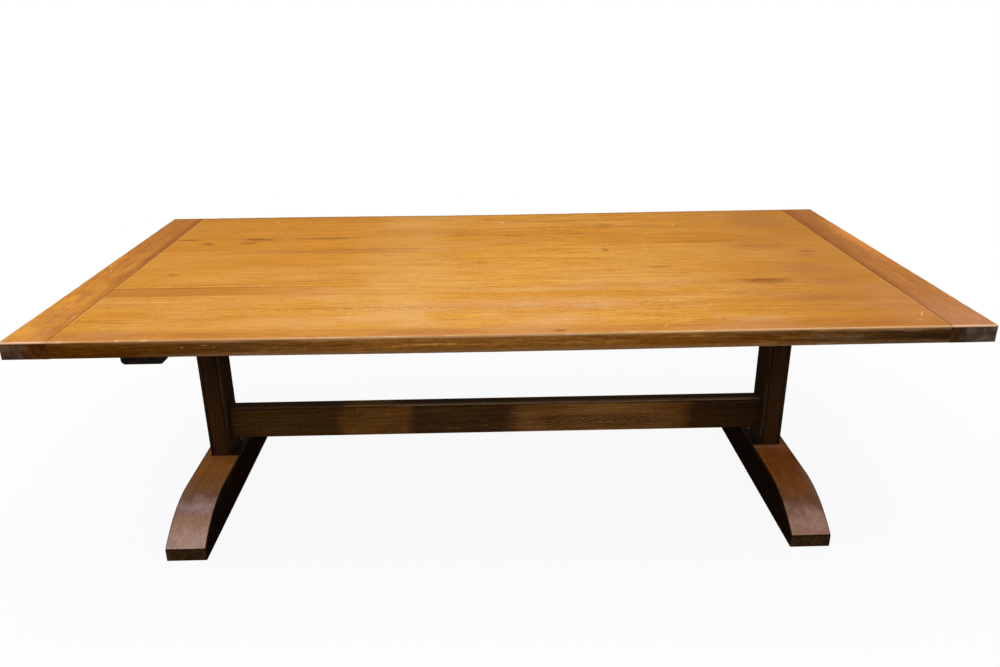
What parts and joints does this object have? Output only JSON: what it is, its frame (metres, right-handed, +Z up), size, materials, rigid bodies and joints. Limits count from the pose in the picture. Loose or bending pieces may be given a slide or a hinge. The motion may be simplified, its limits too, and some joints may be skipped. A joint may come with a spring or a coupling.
{
  "type": "trestle dining table",
  "caption": "Long wooden trestle dining table: thick plank top with cross boards on its ends, beaded posts on curved sledge feet, and a low stretcher.",
  "frame": {"origin": "on the floor under the middle of the top", "axes": "+X along the table's length, +Y from the front long edge to the back one, +Z up"},
  "size_m": [2.44, 1.26, 0.762],
  "materials": {
    "golden_oak_boards": "polished golden oak, long straight grain",
    "golden_oak_end_boards": "polished oak, redder than the long boards",
    "plain_oak": "unfinished sawn oak",
    "oak_pegs": "cleft oak, end grain showing",
    "brown_oak_feet": "brown stained oak, waxed and rubbed",
    "dark_oak_posts": "dark stained oak, waxed",
    "dark_oak_stretcher": "dark stained oak, waxed",
    "black_oak_bearers": "very dark stained oak",
    "screw_steel": "plain steel",
    "bolt_steel": "dull zinc plated"
  },
  "bodies": {
    "root": {"bearer_left": "black_oak_bearers", "bearer_pegs_left": "oak_pegs", "bearer_pegs_right": "oak_pegs", "bearer_right": "black_oak_bearers", "bearer_screws_left": "screw_steel", "bearer_screws_right": "screw_steel", "bearer_washers_left": "screw_steel", "bearer_washers_right": "screw_steel", "end_board_left": "golden_oak_end_boards", "end_board_pegs_left": "oak_pegs", "end_board_pegs_right": "oak_pegs", "end_board_right": "golden_oak_end_boards", "foot_left": "brown_oak_feet", "foot_pegs_left": "oak_pegs", "foot_pegs_right": "oak_pegs", "foot_right": "brown_oak_feet", "loose_tongue_1": "plain_oak", "loose_tongue_2": "plain_oak", "loose_tongue_3": "plain_oak", "loose_tongue_4": "plain_oak", "loose_tongue_5": "plain_oak", "post_left": "dark_oak_posts", "post_right": "dark_oak_posts", "stretcher": "dark_oak_stretcher", "stretcher_barrel_nut_left": "bolt_steel", "stretcher_barrel_nut_right": "bolt_steel", "stretcher_bolt_left": "bolt_steel", "stretcher_bolt_right": "bolt_steel", "stretcher_washer_left": "bolt_steel", "stretcher_washer_right": "bolt_steel", "top_board_1": "golden_oak_boards", "top_board_2": "golden_oak_boards", "top_board_3": "golden_oak_boards", "top_board_4": "golden_oak_boards", "top_board_5": "golden_oak_boards", "top_board_6": "golden_oak_boards"}
  },
  "joints": []
}
